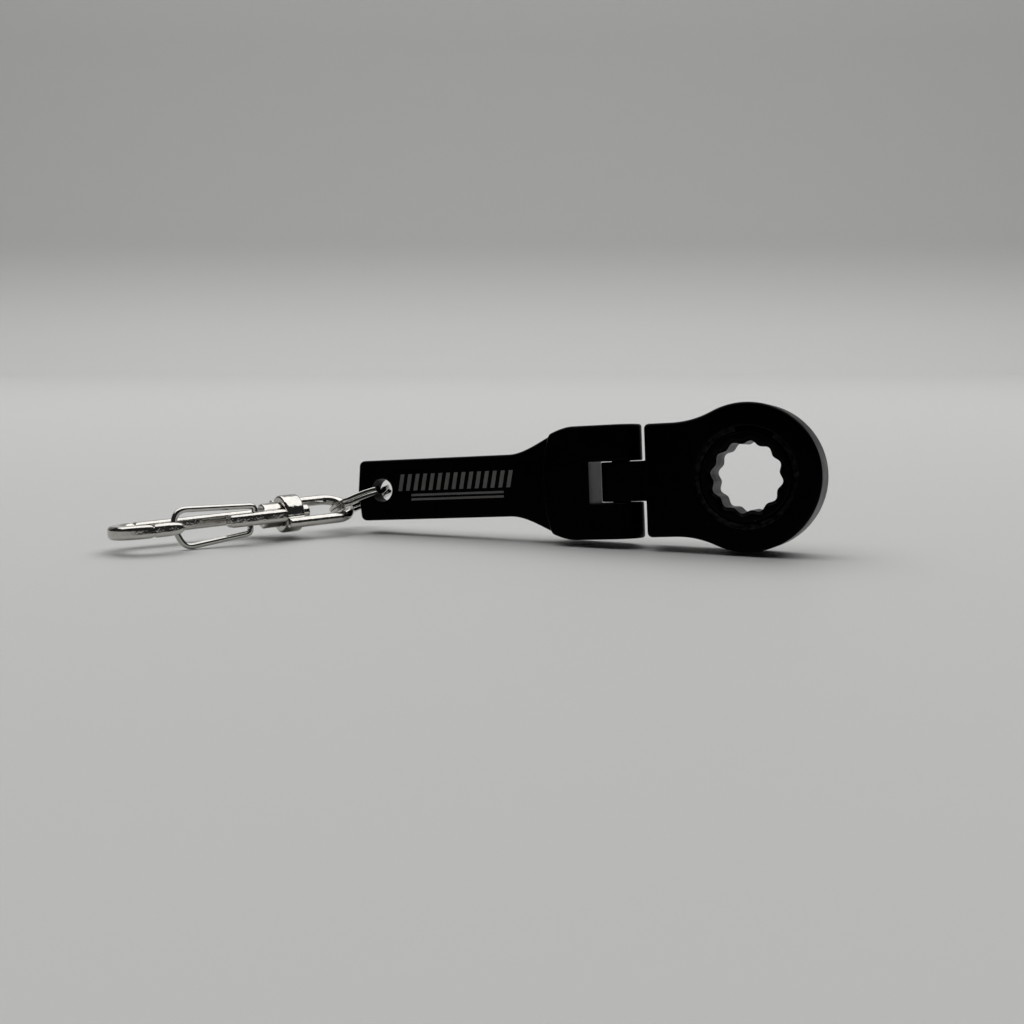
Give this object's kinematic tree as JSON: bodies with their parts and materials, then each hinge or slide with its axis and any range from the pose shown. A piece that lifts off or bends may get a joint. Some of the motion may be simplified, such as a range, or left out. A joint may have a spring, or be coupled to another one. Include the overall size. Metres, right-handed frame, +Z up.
{
  "type": "keychain ratcheting box wrench",
  "caption": "Pocket flex-head ratcheting ring wrench with a twelve-point socket, a slotted fork hinge, a split ring and a swivel snap clasp with a wire gate.",
  "frame": {"origin": "on the table under the middle of the object's box, with the wrench standing on edge on z = 0", "axes": "+X towards the round head, +Z up, +Y out of the head's back face except that the wrench leans back on it by 5 degrees about X"},
  "size_m": [0.1082, 0.0436, 0.0241],
  "materials": {
    "black_oxide_steel": "satin black, slightly worn at its edges",
    "black_gear_steel": "dark blackened machined steel",
    "spring_wire": "bright spring steel",
    "nickel_wire": "nickel plated wire",
    "nickel_casting": "nickel plated casting, slightly pitted"
  },
  "bodies": {
    "handle": {"handle": "black_oxide_steel", "hinge_screw": "black_oxide_steel", "tension_washer": "spring_wire"},
    "head": {"head_housing": "black_oxide_steel", "gear_snap_ring": "black_gear_steel"},
    "gear": {"ratchet_gear": "black_gear_steel"},
    "pawl": {"pawl": "black_gear_steel", "pawl_spring": "spring_wire"},
    "split_ring": {"split_ring": "nickel_wire"},
    "bail": {"swivel_bail": "nickel_casting"},
    "hook": {"hook_body": "nickel_casting", "swivel_rivet": "nickel_casting"},
    "gate": {"wire_gate": "nickel_wire"}
  },
  "joints": [
    {"name": "flex_hinge", "type": "hinge", "parent": "handle", "child": "head", "pos_m": [0.02131, 0.01661, 0.01053], "axis": [-0.0725, 0.0869, 0.9936], "range_deg": [-90, 90]},
    {"name": "gear_spin", "type": "hinge", "parent": "head", "child": "gear", "pos_m": [0.04235, 0.01674, 0.01205], "axis": [0, 0.9962, -0.0872], "continuous": true},
    {"name": "pawl_slide", "type": "slide", "parent": "head", "child": "pawl", "axis": [-0.9974, -0.0063, -0.0723], "range_m": [0, 0.0005], "stiffness_N_per_m": 400, "springref_m": -0.001},
    {"name": "ring_swing", "type": "hinge", "parent": "handle", "child": "split_ring", "pos_m": [-0.02158, 0.01664, 0.00755], "axis": [-0.0727, 0.9921, -0.1022], "range_deg": [-15, 60]},
    {"name": "bail_swing", "type": "hinge", "parent": "split_ring", "child": "bail", "pos_m": [-0.02915, 0.01213, 0.00415], "axis": [0.6798, -0.6305, 0.3746], "range_deg": [-12, 10]},
    {"name": "swivel_spin", "type": "hinge", "parent": "bail", "child": "hook", "pos_m": [-0.03445, 0.00524, 0.0041], "axis": [-0.559, -0.8287, -0.0279], "continuous": true},
    {"name": "gate_hinge", "type": "hinge", "parent": "hook", "child": "gate", "pos_m": [-0.03625, -0.00331, 0.00415], "axis": [-0.2735, -0.5241, -0.8066], "range_deg": [0, 22], "stiffness_Nm_per_rad": 0.02, "springref_deg": -10}
  ]
}
